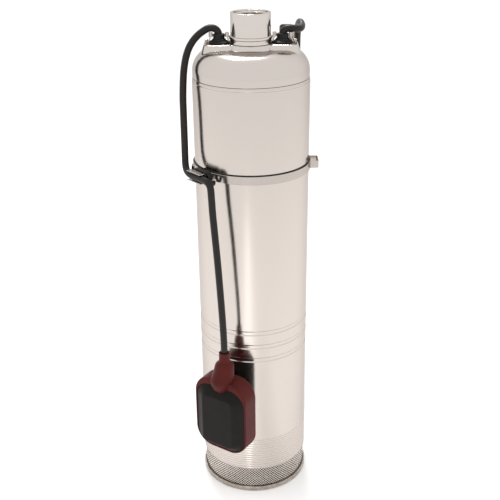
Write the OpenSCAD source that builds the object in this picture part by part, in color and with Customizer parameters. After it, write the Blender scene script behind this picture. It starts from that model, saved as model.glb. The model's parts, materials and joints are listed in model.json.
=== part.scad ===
// Multistage submersible pump with a float switch.
// Origin: centre of the underside of the base plate. Z is the pump's axis, -Y is its front.

/* [Body] */
// Outer radius of the sleeve
body_r = 75; // [74.5:0.1:75.5]
// Wall of the outer sleeve
sleeve_wall = 1.5; // [1.3:0.1:1.6]
// Height of the lower edge of the sleeve
sleeve_bottom = 38.5; // [38:0.5:39]
// Height of the seam between the sleeve and the top cover
seam_z = 588; // [586:1:590]
// Depth of the three rolled beads
bead_depth = 0.8; // [0.4:0.1:0.9]
// Number of fine rolled grooves above the strainer
groove_count = 13; // [8:1:13]

/* [Strainer] */
// Radius of the base plate
base_r = 76; // [75.5:0.1:76.5]
// Height of the lip of the base plate
base_h = 7; // [6:0.5:8]
// Radius of the strainer sheet
strainer_r = 73.2; // [72.5:0.1:73.4]
// Radius of the strainer holes
strainer_hole_r = 3; // [2:0.25:3.5]

/* [Top cover] */
// Radius of the rounded shoulder
shoulder_r = 27; // [24:1:29]
// Height of the gland pads and of the middle boss
pad_z = 633; // [632:0.5:634]
// Distance of each cable gland from the axis
gland_x = 39.5; // [39:0.5:40]

/* [Discharge] */
// Height of the discharge face
top_z = 670; // [668:1:674]
// Outer radius of the discharge socket
socket_r = 25.1; // [24.5:0.1:25.5]
// Minor radius of the female pipe thread
thread_r = 19.475; // [19.4:0.025:19.5]
// Length of the female pipe thread
thread_len = 24; // [20:1:26]

/* [Stages] */
// Number of pump stages
stage_count = 5; // [5:1:5]
// Height of one stage
stage_h = 30; // [30:0.5:30.5]
// Radius of an impeller
impeller_r = 56; // [50:1:58]
// Number of blades on an impeller
blade_count = 6; // [5:1:7]
// Number of guide vanes in a chamber
vane_count = 8; // [6:1:9]

/* [Motor] */
// Outer radius of the motor housing
motor_r = 60; // [58:1:62]
// Number of stator slots
slot_count = 24; // [18:6:24]

/* [Strap] */
// Height of the strap's lower edge
strap_z = 472; // [470:1:474]
// Height of the strap
strap_h = 10.5; // [10:0.5:11]
// Turn of the cable clip from the front, to the left
clip_turn = -49.5; // [-52:0.5:-48]

/* [Float] */
// Width of the float
float_w = 81; // [79:1:83]
// Length of the float
float_l = 108; // [106:1:110]
// Thickness of the float over its two raised faces
float_t = 42; // [40:1:43]
// Turn of the float's face from the front, to the left
float_turn = -33.5; // [-36:0.5:-31]

/* [Cords] */
// Diameter of both cords
cord_d = 9; // [8.8:0.1:9.2]
// Height of the coil of spare cord
coil_h = 45.6; // [45.5:0.1:46]

/* [Hidden] */
$fn = 96;
cord_r = cord_d / 2;
bore_r = body_r - sleeve_wall;          // inside of the sleeve
cover_r = body_r - 0.8;                 // outside of the top cover above the seam
crown_z = 626.5;                        // crown of the top cover
cover_wall = 1.8;
bead_zs = [217, 237.4, 257.8];          // lower edge of each rolled bead
bead_w = 6;
groove_pitch = 3.7;
groove_depth = 0.5;
stage_z = 48;                           // underside of the first chamber
bowl_z = stage_z + stage_count * stage_h;
oil_z = 214;
bracket_z = 262;                        // lower bearing bracket
motor_z = 284;
motor_top = 566;
cover_z = 578;                          // top of the motor cover
pump_shaft_r = 8;
seal_shaft_r = 9;
core_shaft_r = 12;
low_bearing = [10, 26, 15];             // bore radius, outer radius, width
top_bearing = [8.5, 20, 12];
low_bearing_z = 266;
top_bearing_z = 506;
seat_z = 600;                           // upper face of the valve seat
valve_r = 21;                           // bore of the valve body
flange_r = 13.2;                        // rubber flange of a gland
collar_r = 7.1;
screw_x = 15.6;                         // clamp screw from the middle of its gland
band_r = body_r + 1.3;                  // inside of the steel strap
band_t = 1;
ear_depth = 11;                         // from the inside of the strap to the front of an ear
ear_w = 24;
lug_at = [45.5, 30, 640];
float_at = [-38.5, -105, 159];          // centre of the float
frame_t = 26;                           // thickness of its frame
face_z = -3.5;                          // middle of its faces
boot_top = 251;
lever_z = 17.5;                         // hinge of the switch lever above the middle of the float
clip_z = 477.8;                         // centre of the cord in the clip
clip_half = 6.9;                        // half height of the clip
clip_t = 1;                             // its sheet
coil_at = [0, 165, 1.2];
coil_in = 33.4;
coil_out = 79;
tie_t = 1.2;
cord_floor = cord_r + 0.1;
plug_at = [20.4, 207.4, 61.8];          // rear end of the plug's grip
plug_turn = 135;
plug_r = 15;

// Route of the float cord from its gland to the strap clip.
float_cord_up = [
    [-39.5, 0, 640], [-40, 0, 645.5], [-44, -0.5, 650], [-51, -1, 651], [-60, -2, 646.5], [-68, -3.5, 640],
    [-75, -7, 631], [-80, -12, 619], [-83, -18, 604], [-84.3, -23, 588], [-85, -26.5, 570], [-85, -28.5, 551],
    [-85, -29.5, 530], [-85, -30.5, 510], [-85, -32, 497], [-84.6, -36, 487.5], [-82.8, -43, 481.5], [-79, -50.7, 479],
    [-74, -56.5, 477.8], [-67, -64.7, 477.8], [-60.5, -72.4, 477.8], [-55, -79, 477], [-51.8, -82.7, 473]];
// Route of the float cord from the clip to the float.
float_cord_down = [
    [-50.3, -84.5, 456], [-49.5, -86, 440], [-46.8, -90.5, 405], [-44.2, -94.5, 370], [-41.7, -98.7, 330],
    [-39.6, -102.7, 292], [-38.6, -104.8, 265], [-38.5, -105, 248]];
// Route of the power cord from its gland, over the shoulder and down the back to the coil.
power_route = [
    [39.5, 0, 640], [39.8, 0, 645], [43, 0, 648.8], [49, 0, 649.8], [56, 1.5, 649], [61.5, 6, 648.5],
    [64, 14, 650], [63.5, 23, 652.5], [62, 33, 652], [61, 43, 645.5], [60.5, 51, 633], [60.5, 56, 614],
    [60.5, 58, 590], [60.5, 58, 560], [60.5, 58, 520], [60.5, 58, 480], [60.5, 58, 440], [60.5, 58, 400],
    [60.5, 58, 360], [60.5, 58, 320], [60.5, 58, 280], [60.5, 58, 240], [60.5, 58, 200], [60.5, 58, 160],
    [60.5, 58, 120], [60.5, 58, 85], [60.5, 58.5, 58], [61, 62, 36], [63, 72, 17], [66, 88, 7],
    [69, 106, cord_floor], [71.5, 127, cord_floor + 0.6]];

// A ring or, with ri = 0, a plain disc.
module ring(ro, ri, z0, z1) {
    translate([0, 0, z0]) difference() {
        cylinder(r = ro, h = z1 - z0);
        if (ri > 0) translate([0, 0, -1]) cylinder(r = ri, h = z1 - z0 + 2);
    }
}

module around(n, start = 0) {
    for (i = [0:n - 1]) rotate([0, 0, start + 360 * i / n]) children();
}

// A rectangle with true round corners.
module round_rect(w, h, r) {
    square([w - 2 * r, h], center = true);
    square([w, h - 2 * r], center = true);
    for (x = [-1, 1], y = [-1, 1]) translate([x * (w / 2 - r), y * (h / 2 - r)]) circle(r = r);
}

function unit(v) = v / norm(v);
function tangent(p, i) = unit(p[min(i + 1, len(p) - 1)] - p[max(i - 1, 0)]);
function ring_points(p, i, r, n, side) =
    let (t = tangent(p, i), u = unit(cross(t, side)), v = cross(t, u))
    [for (k = [0:n - 1]) p[i] + r * (cos(360 * k / n) * u + sin(360 * k / n) * v)];

// A round tube swept along a list of points.
module cord_tube(p, r, side, n = 10) {
    m = len(p);
    points = [for (i = [0:m - 1]) each ring_points(p, i, r, n, side)];
    walls = [for (i = [0:m - 2], k = [0:n - 1])
        [i * n + k, i * n + (k + 1) % n, (i + 1) * n + (k + 1) % n, (i + 1) * n + k]];
    caps = [[for (k = [n - 1:-1:0]) k], [for (k = [0:n - 1]) (m - 1) * n + k]];
    polyhedron(points, concat(walls, caps), convexity = 8);
}

// ---- Body ----

module base_plate() {
    color("dimgray") difference() {
        union() {
            cylinder(r = base_r - 1, h = 1);
            translate([0, 0, 1]) cylinder(r = base_r, h = base_h - 1);
        }
        translate([0, 0, 4]) cylinder(r = strainer_r - 1.2, h = base_h);
        translate([0, 0, 5]) cylinder(r = strainer_r, h = base_h);
    }
}

module strainer() {
    color("gray") difference() {
        ring(strainer_r, strainer_r - 1.2, 5, stage_z - 8);
        for (row = [0:2]) around(20, 9 * (row % 2))
            translate([strainer_r - 4, 0, 14 + 9 * row])
                rotate([0, 90, 0]) cylinder(r = strainer_hole_r, h = 8);
    }
}

module suction_plate() {
    color("silver") difference() {
        union() {
            ring(bore_r - 0.1, 0, stage_z - 8, stage_z);
            around(3) translate([52, 0, 4]) cylinder(r = 5, h = stage_z - 12);
        }
        translate([0, 0, stage_z - 9]) cylinder(r = 26, h = 10);
    }
}

// Points of one shallow V in the sleeve's outline, from its lower edge up.
function dent(z, w, d) = [[body_r, z], [body_r - d, z + w * 0.3], [body_r - d, z + w * 0.7], [body_r, z + w]];

module outer_sleeve() {
    grooves = [for (i = [0:groove_count - 1])
        each dent(sleeve_bottom + 1.6 + groove_pitch * i, groove_pitch * 0.6, groove_depth)];
    beads = [for (z = bead_zs) each dent(z, bead_w, bead_depth)];
    outline = concat([[bore_r, sleeve_bottom], [body_r, sleeve_bottom]], grooves, beads,
        [[body_r, seam_z], [cover_r, seam_z + 3.5], [bore_r, seam_z + 3.5]]);
    color("gainsboro") rotate_extrude() polygon(outline);
}

// Outline of the top cover: straight skirt, round shoulder, nearly flat crown.
module cover_outline(r, crown) {
    square([r, crown - shoulder_r]);
    square([r - shoulder_r, crown]);
    translate([r - shoulder_r, crown - shoulder_r]) intersection() {
        circle(r = shoulder_r);
        square(shoulder_r + 1);
    }
}

module cover_solid(inset = 0) {
    z0 = seam_z + 3.5;
    translate([0, 0, z0]) rotate_extrude() intersection() {
        translate([0, -z0]) cover_outline(cover_r - inset, crown_z - inset);
        square([100, 100]);
    }
}

// The raised plateau: two gland pads and the boss between them.
module plateau(inset = 0) {
    for (s = [-1, 1]) translate([s * gland_x, 0]) round_rect(39 - 2 * inset, 41 - 2 * inset, 9 - inset);
    intersection() {
        circle(r = 30.5 - inset);
        square([61, 55 - 2 * inset], center = true);
    }
}

module top_cover() {
    z0 = seam_z - 14;
    pad_h = 14;
    color("gainsboro") difference() {
        union() {
            ring(bore_r - 0.1, bore_r - 4, z0, seam_z + 3.5);
            cover_solid();
            translate([0, 0, pad_z - pad_h]) linear_extrude(pad_h) plateau();
        }
        cover_solid(cover_wall);
        translate([0, 0, pad_z - pad_h - cover_wall]) linear_extrude(pad_h) plateau(cover_wall);
        translate([0, 0, seat_z]) cylinder(r = socket_r, h = 50);
        for (s = [-1, 1]) translate([s * gland_x, 0, crown_z - 5]) cylinder(r = 8.5, h = 20);
        ring(bore_r + 1, bore_r - 3, seam_z - 10, seam_z - 6.5);
    }
}

module cover_seal() {
    color("black") translate([0, 0, seam_z - 8.25])
        rotate_extrude() translate([bore_r - 1.5, 0]) circle(r = 1.45, $fn = 24);
}

module discharge_socket() {
    neck_r = socket_r + 0.8;
    bead_r = socket_r + 2;
    color("silver") rotate_extrude() polygon([
        [valve_r, crown_z], [socket_r, crown_z], [socket_r, pad_z], [neck_r, pad_z], [neck_r, pad_z + 5.3],
        [bead_r, pad_z + 6.3], [bead_r, pad_z + 7.5], [socket_r, pad_z + 8.5], [socket_r, top_z - 1],
        [socket_r - 1, top_z], [thread_r + 1.5, top_z], [thread_r, top_z - 1.5], [thread_r, top_z - thread_len],
        [valve_r, top_z - thread_len - 1.5]]);
}

module lifting_lug() {
    color("silver") difference() {
        translate([lug_at[0], lug_at[1] + 1.5, 0]) rotate([90, 0, 0]) linear_extrude(3) difference() {
            union() {
                translate([-9, 615]) square([18, lug_at[2] - 615]);
                translate([0, lug_at[2]]) round_rect(18, 20, 4);
            }
            translate([0, lug_at[2]]) circle(r = 5);
        }
        cover_solid();
    }
}

// ---- Stages ----

module chamber(k) {
    z0 = stage_z + k * stage_h;
    color("lightsteelblue") {
        ring(bore_r - 0.2, bore_r - 3, z0, z0 + stage_h);
        ring(bore_r - 2, 24, z0, z0 + 2);
        ring(62, 14, z0 + 17, z0 + 19);
        around(vane_count) translate([28, -1, z0 + 18]) cube([bore_r - 30, 2, stage_h - 18]);
    }
}

// Outline of one backward-curved blade, from the hub to the rim.
function blade_edge(off) = [for (i = [0:8])
    let (r = 12.5 + (impeller_r - 14) * i / 8, a = 75 * i / 8 + off / r * 57.3) [r * cos(a), r * sin(a)]];

module impeller(k) {
    z0 = stage_z + k * stage_h;
    color("khaki") difference() {
        union() {
            ring(13, 0, z0 + 1, z0 + stage_h + 1);
            ring(impeller_r, 0, z0 + 13, z0 + 15);
            ring(impeller_r, 22, z0 + 5, z0 + 6.5);
            ring(23, 20.5, z0 - 0.5, z0 + 6);
            around(blade_count) translate([0, 0, z0 + 6])
                linear_extrude(7.5) polygon(concat(blade_edge(0), [for (i = [8:-1:0]) blade_edge(1.8)[i]]));
        }
        translate([0, 0, z0 - 1]) cylinder(r = pump_shaft_r, h = stage_h + 4);
    }
}

module impeller_nut() {
    color("silver") difference() {
        translate([0, 0, stage_z - 7]) cylinder(r = 10.5, h = 8, $fn = 6);
        translate([0, 0, stage_z - 8]) cylinder(r = 6, h = 10);
    }
}

module discharge_bowl() {
    rib_h = bracket_z - bowl_z - 8;
    color("lightsteelblue") {
        ring(bore_r - 0.2, bore_r - 3, bowl_z, bracket_z);
        around(vane_count) translate([motor_r - 1.5, -1.5, bowl_z + 8])
            cube([bore_r - motor_r - 0.5, 3, rib_h]);
        ring(motor_r, 14, bowl_z + 8, oil_z);
        ring(motor_r, motor_r - 3, oil_z - 1, bracket_z);
    }
}

module oil_chamber() {
    color("darkseagreen") {
        ring(motor_r - 3, 17, oil_z, oil_z + 6);
        ring(motor_r - 3, motor_r - 7, oil_z + 5, bracket_z);
    }
}

module seal_seat() {
    color("dimgray") ring(17, 9.8, oil_z, oil_z + 6);
}

module seal_ring() {
    color("black") {
        ring(14, seal_shaft_r, oil_z + 6.1, oil_z + 12);
        ring(16, seal_shaft_r, oil_z + 12, oil_z + 24);
    }
}

// ---- Motor ----

module lower_bracket() {
    color("slategray") difference() {
        ring(motor_r, 0, bracket_z, motor_z);
        translate([0, 0, bracket_z - 1]) cylinder(r = 11, h = 30);
        translate([0, 0, low_bearing_z]) cylinder(r = low_bearing[1], h = 30);
        ring(motor_r - 5, 32, low_bearing_z + 2, motor_z + 1);
    }
}

module bearing_outer(b, z) {
    mid = (b[0] + b[1]) / 2;
    difference() {
        ring(b[1], mid + 2, z, z + b[2]);
        translate([0, 0, z + b[2] / 2]) rotate_extrude() translate([mid, 0]) circle(r = b[2] * 0.28, $fn = 32);
    }
}

module bearing_inner(b, z) {
    mid = (b[0] + b[1]) / 2;
    difference() {
        ring(mid - 2, b[0], z, z + b[2]);
        translate([0, 0, z + b[2] / 2]) rotate_extrude() translate([mid, 0]) circle(r = b[2] * 0.28, $fn = 32);
    }
    around(9) translate([mid, 0, z + b[2] / 2]) sphere(r = b[2] * 0.28 - 0.2, $fn = 24);
}

module bearing_outers() {
    color("silver") {
        bearing_outer(low_bearing, low_bearing_z);
        bearing_outer(top_bearing, top_bearing_z);
    }
}

module bearing_inners() {
    color("silver") {
        bearing_inner(low_bearing, low_bearing_z);
        bearing_inner(top_bearing, top_bearing_z);
    }
}

module motor_housing() {
    color("silver") ring(motor_r, motor_r - 3, motor_z, motor_top);
}

module stator_slots(r0, r1, w, z0, z1) {
    around(slot_count) translate([r0, -w / 2, z0]) cube([r1 - r0, w, z1 - z0]);
}

module stator_core() {
    color("steelblue") difference() {
        ring(motor_r - 3, 33, 340, 460);
        stator_slots(30, 48, 4.4, 339, 461);
    }
}

module windings() {
    color("orangered") {
        ring(51, 36, 318, 340);
        ring(51, 36, 460, 482);
        stator_slots(36, 48, 4.4, 339, 461);
    }
}

module rotor_core() {
    color("gray") {
        ring(32.4, core_shaft_r, 342, 458);
        ring(29, 17, 334, 342);
        ring(29, 17, 458, 466);
    }
}

module shaft() {
    color("lightgray") rotate_extrude() polygon([
        [0, 42], [6, 42], [6, stage_z + 1], [pump_shaft_r, stage_z + 1], [pump_shaft_r, 206],
        [seal_shaft_r, 206], [seal_shaft_r, low_bearing_z], [low_bearing[0], low_bearing_z],
        [low_bearing[0], low_bearing_z + 15], [core_shaft_r, low_bearing_z + 15], [core_shaft_r, 500],
        [top_bearing[0], 500], [top_bearing[0], 518.5], [0, 518.5]]);
}

module upper_bracket() {
    color("slategray") difference() {
        ring(motor_r - 3, 0, 500, 524);
        translate([0, 0, 499]) cylinder(r = 13, h = 8);
        translate([0, 0, top_bearing_z]) cylinder(r = top_bearing[1], h = 13);
        ring(motor_r - 7, 26, 499, 518);
    }
}

module motor_cover() {
    color("slategray") difference() {
        union() {
            ring(motor_r, 0, motor_top, cover_z);
            ring(motor_r - 3.1, 0, motor_top - 4, motor_top);
        }
        for (s = [-1, 1]) translate([s * gland_x, 0, motor_top - 5]) cylinder(r = 8.5, h = 20);
    }
}

module capacitor() {
    color("lightyellow") translate([0, 36, 543]) rotate([90, 0, 0]) cylinder(r = 16, h = 72);
}

module cable_ducts() {
    color("silver") for (s = [-1, 1])
        translate([s * gland_x, 0, 0]) ring(10.5, 8.5, cover_z, pad_z - cover_wall);
}

// ---- Non-return valve ----

module valve_seat() {
    color("goldenrod") {
        ring(socket_r, valve_r, seat_z, crown_z);
        ring(socket_r, 14, seat_z - 4, seat_z);
        ring(5, 3.3, crown_z - 4, crown_z);
        around(3) translate([4.5, -1.2, crown_z - 4]) cube([17, 2.4, 4]);
    }
}

module valve_poppet() {
    color("black") {
        ring(17.5, 0, seat_z + 0.05, seat_z + 4);
        ring(3, 0, seat_z + 4, crown_z + 2);
    }
}

// One helix of round wire, as the points of its centre line.
module valve_spring() {
    z0 = seat_z + 4.7;
    helix = [for (i = [0:48]) [6.5 * cos(30 * i), 6.5 * sin(30 * i), z0 + (crown_z - 4.7 - z0) * i / 48]];
    color("silver") cord_tube(helix, 0.6, [0, 0, 1], 8);
}

// ---- Cable glands ----

// Both glands, with +X pointing away from the discharge socket.
module at_glands() {
    for (s = [0, 1]) mirror([s, 0, 0]) translate([gland_x, 0, pad_z]) children();
}

module gland_grommets() {
    color("black") at_glands() rotate_extrude() polygon([
        [cord_r, -12], [8.4, -12], [8.4, 0], [flange_r, 0], [flange_r, 1.3], [11.2, 1.3], [8, 4.5],
        [collar_r, 5], [collar_r, 11], [cord_r, 11]]);
}

module gland_clamps() {
    color("silver") at_glands() difference() {
        union() {
            translate([-12, -7.5, 7]) cube([24, 15, 1.4]);
            for (s = [-1, 1]) {
                translate([s * 11.2 - 0.8, -4.5, 7]) cube([1.6, 9, 5]);
                translate([s * 11.6, 0, 4.6]) rotate([0, s * -17.5, 0]) cube([1.2, 7, 6.6], center = true);
            }
            translate([11.8, -4, 1.4]) cube([5.6, 8, 1.2]);
        }
        cylinder(r = collar_r + 0.2, h = 20);
        translate([screw_x, 0, -1]) cylinder(r = 1.6, h = 4);
    }
}

module gland_screws() {
    color("dimgray") at_glands() translate([screw_x, 0, 0]) {
        cylinder(r = 1.5, h = 2.6);
        translate([0, 0, 2.6]) cylinder(r = 2, h = 1.5);
    }
}

// ---- Strap and clip ----

// A square loop of sheet that stands out from the strap on its -Y side.
module ear() {
    translate([0, -band_r, strap_z + 0.3]) difference() {
        translate([-ear_w / 2, -ear_depth, 0]) cube([ear_w, ear_depth + 5, strap_h - 0.6]);
        translate([-ear_w / 2 + 1.2, -ear_depth + 1.2, -1]) cube([ear_w - 2.4, ear_depth + 10, strap_h + 2]);
    }
}

module strap_band() {
    color("gainsboro") difference() {
        union() {
            ring(band_r + band_t, band_r, strap_z, strap_z + strap_h);
            rotate([0, 0, clip_turn]) ear();
            rotate([0, 0, 90]) ear();
            for (s = [-1, 1]) translate([s * 5 - 0.75, band_r + 0.3, strap_z + 0.3])
                cube([1.5, 13, strap_h - 0.6]);
        }
        translate([0, 0, strap_z - 1]) cylinder(r = band_r, h = strap_h + 2);
        translate([-4.6, 60, strap_z - 1]) cube([9.2, 40, strap_h + 2]);
        translate([-10, band_r + 7.5, strap_z + strap_h / 2]) rotate([0, 90, 0]) cylinder(r = 2.6, h = 20);
    }
}

module strap_liner() {
    color("black") ring(band_r, body_r, strap_z, strap_z + strap_h + 1.2);
}

module strap_screw() {
    color("silver") translate([0, band_r + 7.5, strap_z + strap_h / 2]) rotate([0, 90, 0]) {
        translate([0, 0, -14]) cylinder(r = 2.5, h = 22);
        translate([0, 0, 5.75]) cylinder(r = 4.6, h = 4, $fn = 6);
        translate([0, 0, -9.75]) cylinder(r = 4.6, h = 4);
    }
}

module at_clip() {
    rotate([0, 0, clip_turn]) translate([0, -band_r - ear_depth, clip_z]) children();
}

// A channel of sheet that holds the float cord against the front of the ear.
module cable_clip() {
    color("silver") at_clip() translate([-12.6, 0, 0]) difference() {
        translate([0, -9, -clip_half]) cube([25.6, 9, 2 * clip_half]);
        translate([-1, -9 - clip_t, clip_t - clip_half]) cube([28, 9, 2 * (clip_half - clip_t)]);
    }
}

// A rubber block in the ear, with a tongue and a curled tail on its right.
module clip_retainer() {
    color("black") at_clip() {
        translate([-10.5, 1.4, -6.5]) cube([21, 8.4, 14.5]);
        translate([8, 1.4, 5]) cube([10, 6, 3]);
        translate([12.4, 1.4, -5]) cube([5.6, 6, 12]);
        translate([20.4, 7.4, -4]) rotate([90, 0, 0]) difference() {
            cylinder(r = 4, h = 6);
            translate([0, 0, -1]) cylinder(r = 2.2, h = 8);
            translate([-1, 0.5, -1]) cube([10, 10, 8]);
        }
    }
}

// ---- Float ----

module at_float() {
    translate(float_at) rotate([0, 0, float_turn]) children();
}

module slab(w, h, t, r) {
    rotate([90, 0, 0]) linear_extrude(t, center = true) round_rect(w, h, r);
}

module float_shell() {
    color("maroon") at_float() difference() {
        union() {
            slab(float_w, float_l, frame_t - 4, 26);
            slab(float_w - 2, float_l - 2, frame_t, 25);
        }
        translate([0, 0, face_z]) slab(float_w - 8, float_l - 17, frame_t + 2, 20);
        for (s = [-1, 1])
            translate([0, s * frame_t / 2, face_z]) slab(float_w - 4, float_l - 13, 4, 22);
        translate([0, 0, float_l / 2 - 14]) cylinder(r = 7, h = 20);
    }
}

// Two raised faces with sloping sides, each a hollow shell on a flange.
module float_covers() {
    flange = [float_w - 4.2, float_l - 13.2];
    pad = [48.6 / flange[0], 74 / flange[1]];
    rise = float_t / 2 - frame_t / 2 + 1;
    color("black") at_float() for (s = [0, 180]) rotate([0, 0, s]) translate([0, 2 - frame_t / 2, face_z])
        rotate([90, 0, 0]) difference() {
            union() {
                linear_extrude(1) round_rect(flange[0], flange[1], 21.9);
                translate([0, 0, 1]) linear_extrude(rise, scale = pad, slices = 1, $fn = 32)
                    round_rect(flange[0], flange[1], 21.9);
            }
            translate([0, 0, -1]) linear_extrude(rise, scale = pad, slices = 1, $fn = 32)
                round_rect(flange[0] - 6, flange[1] - 6, 19);
        }
}

module float_boot() {
    z1 = boot_top - float_at[2];
    color("maroon") at_float() rotate_extrude() polygon([
        [cord_r, float_l / 2 - 5], [6.9, float_l / 2 - 5], [6.9, float_l / 2], [15.5, float_l / 2],
        [14.5, float_l / 2 + 9], [12, z1 - 16], [7.2, z1 - 13], [7.2, z1], [cord_r, z1]]);
}

module ball_tube() {
    color("white") at_float() {
        ring(10.5, 0, -48.5, -40);
        ring(10.5, 9, -40, 11);
        ring(10.5, 8, 11, 12);
    }
}

module float_ball() {
    color("silver") at_float() translate([0, 0, -31.5]) sphere(r = 8.4);
}

module microswitch() {
    color("dimgray") at_float() {
        translate([-13, -5, 24]) cube([26, 10, 16]);
        translate([3, 0, 21]) cylinder(r = 1.2, h = 4);
        difference() {
            for (s = [-1, 1]) translate([-14, s * 3 - 0.6, 15]) cube([4, 1.2, 10]);
            translate([-12, 6, lever_z]) rotate([90, 0, 0]) cylinder(r = 1, h = 12);
        }
    }
}

module switch_lever() {
    color("gold") at_float() {
        translate([-12, -2, lever_z - 0.4]) cube([22, 4, 0.8]);
        translate([-12, 4, lever_z]) rotate([90, 0, 0]) cylinder(r = 0.9, h = 8);
    }
}

// ---- Cords ----

module float_cord_upper() {
    color("black") cord_tube(float_cord_up, cord_r, [1, 1, 0.4]);
}

module float_cord_lower() {
    color("black") cord_tube(float_cord_down, cord_r, [1, 1, 0.4]);
}

module power_cord() {
    color("black") cord_tube(power_route, cord_r, [1, -1, 0.5]);
}

module power_cord_coil() {
    color("black") translate(coil_at) rotate_extrude() polygon([
        [coil_in + 2, 0], [coil_out - 2, 0], [coil_out, 2], [coil_out, coil_h - 2], [coil_out - 2, coil_h],
        [coil_in + 2, coil_h], [coil_in, coil_h - 2], [coil_in, 2]]);
}

module coil_ties() {
    w = coil_out - coil_in + 0.4;
    color("dimgray") translate(coil_at) around(3, 60)
        translate([coil_in - 0.2, -4, 0]) difference() {
            translate([-tie_t, 0, -tie_t]) cube([w + 2 * tie_t, 8, coil_h + 2 * tie_t]);
            translate([0, -1, 0]) cube([w, 10, coil_h + 0.05]);
        }
}

module at_plug() {
    translate(plug_at) rotate([0, 90, plug_turn]) children();
}

module plug_body() {
    color("black") at_plug() rotate_extrude() polygon([
        [0, 0], [6, 0], [7.5, 16], [11, 24], [plug_r - 1, 32], [plug_r, 36], [plug_r, 49],
        [plug_r - 1, 50], [0, 50]]);
}

module plug_pins() {
    color("silver") at_plug() for (s = [-1, 1]) translate([0, s * 9.5, 50]) {
        cylinder(r = 2.4, h = 18);
        translate([0, 0, 18]) cylinder(r1 = 2.4, r2 = 1.6, h = 1);
    }
}

base_plate();
strainer();
suction_plate();
outer_sleeve();
top_cover();
cover_seal();
discharge_socket();
lifting_lug();
for (k = [0:stage_count - 1]) chamber(k);
for (k = [0:stage_count - 1]) impeller(k);
impeller_nut();
discharge_bowl();
oil_chamber();
seal_seat();
seal_ring();
lower_bracket();
bearing_outers();
bearing_inners();
motor_housing();
stator_core();
windings();
rotor_core();
shaft();
upper_bracket();
motor_cover();
capacitor();
cable_ducts();
valve_seat();
valve_poppet();
valve_spring();
gland_grommets();
gland_clamps();
gland_screws();
strap_band();
strap_liner();
strap_screw();
cable_clip();
clip_retainer();
float_cord_upper();
float_cord_lower();
float_shell();
float_covers();
float_boot();
ball_tube();
float_ball();
microswitch();
switch_lever();
power_cord();
power_cord_coil();
coil_ties();
plug_body();
plug_pins();
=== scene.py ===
import json
import math
import bmesh
import bpy
from mathutils import Matrix, Vector


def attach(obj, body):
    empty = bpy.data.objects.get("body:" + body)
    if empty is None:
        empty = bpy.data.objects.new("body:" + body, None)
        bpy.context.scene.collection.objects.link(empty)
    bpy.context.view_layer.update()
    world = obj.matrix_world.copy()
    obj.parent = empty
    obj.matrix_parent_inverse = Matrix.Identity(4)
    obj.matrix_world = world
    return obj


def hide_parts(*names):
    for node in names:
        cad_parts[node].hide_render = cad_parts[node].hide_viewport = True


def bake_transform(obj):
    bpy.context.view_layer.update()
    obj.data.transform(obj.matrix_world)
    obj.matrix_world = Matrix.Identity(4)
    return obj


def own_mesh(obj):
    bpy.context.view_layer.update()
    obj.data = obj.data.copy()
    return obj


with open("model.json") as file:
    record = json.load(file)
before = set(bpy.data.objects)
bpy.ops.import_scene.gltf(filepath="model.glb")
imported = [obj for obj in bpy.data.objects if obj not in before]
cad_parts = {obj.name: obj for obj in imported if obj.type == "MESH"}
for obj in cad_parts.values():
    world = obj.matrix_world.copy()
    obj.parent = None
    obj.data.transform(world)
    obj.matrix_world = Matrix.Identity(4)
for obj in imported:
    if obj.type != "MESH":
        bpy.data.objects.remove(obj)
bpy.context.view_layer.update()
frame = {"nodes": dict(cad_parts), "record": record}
mm = 0.001


def toLinear(hexColour):
    parts = [int(hexColour[i:i + 2], 16) / 255 for i in (1, 3, 5)]
    return tuple(c / 12.92 if c < 0.04045 else ((c + 0.055) / 1.055) ** 2.4 for c in parts) + (1.0,)


def addNode(tree, kind, values=None, links=None, **settings):
    node = tree.nodes.new(kind)
    for name, value in settings.items():
        setattr(node, name, value)
    for socket, value in (values or {}).items():
        node.inputs[socket].default_value = value
    for socket, source in (links or {}).items():
        tree.links.new(source, node.inputs[socket])
    return node


def addPiece(name, points, faces, material, body=None, nodes=(), sharpAngle=35):
    # points are in millimetres, in the pump's own frame
    mesh = bpy.data.meshes.new(name)
    mesh.from_pydata([Vector(p) * mm for p in points], [], faces)
    mesh.validate()
    piece = bpy.data.objects.new(name, mesh)
    bpy.context.scene.collection.objects.link(piece)
    finishMesh(mesh, sharpAngle)
    mesh.materials.append(material)
    if nodes:
        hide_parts(*nodes)
    if body:
        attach(piece, body)
    return piece


def finishMesh(mesh, sharpAngle=35):
    work = bmesh.new()
    work.from_mesh(mesh)
    bmesh.ops.remove_doubles(work, verts=work.verts, dist=0.00001)
    bmesh.ops.recalc_face_normals(work, faces=work.faces)
    work.to_mesh(mesh)
    work.free()
    mesh.shade_smooth()
    mesh.set_sharp_from_angle(angle=math.radians(sharpAngle))


def roundCorners(points, radii, steps=5, closed=True):
    # each corner of an outline becomes an arc of its own radius
    count = len(points)
    out = []
    for i, point in enumerate(points):
        radius = radii[i] if isinstance(radii, (list, tuple)) else radii
        if radius <= 0 or (not closed and i in (0, count - 1)):
            out.append(tuple(point))
            continue
        corner = Vector(point)
        before = Vector(points[i - 1]) - corner
        after = Vector(points[(i + 1) % count]) - corner
        half = before.angle(after) / 2
        reach = min(radius / math.tan(half), before.length * 0.49, after.length * 0.49)
        start = corner + before.normalized() * reach
        end = corner + after.normalized() * reach
        for k in range(steps + 1):
            t = k / steps
            out.append(tuple(start * (1 - t) ** 2 + corner * 2 * t * (1 - t) + end * t ** 2))
    return out


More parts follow.
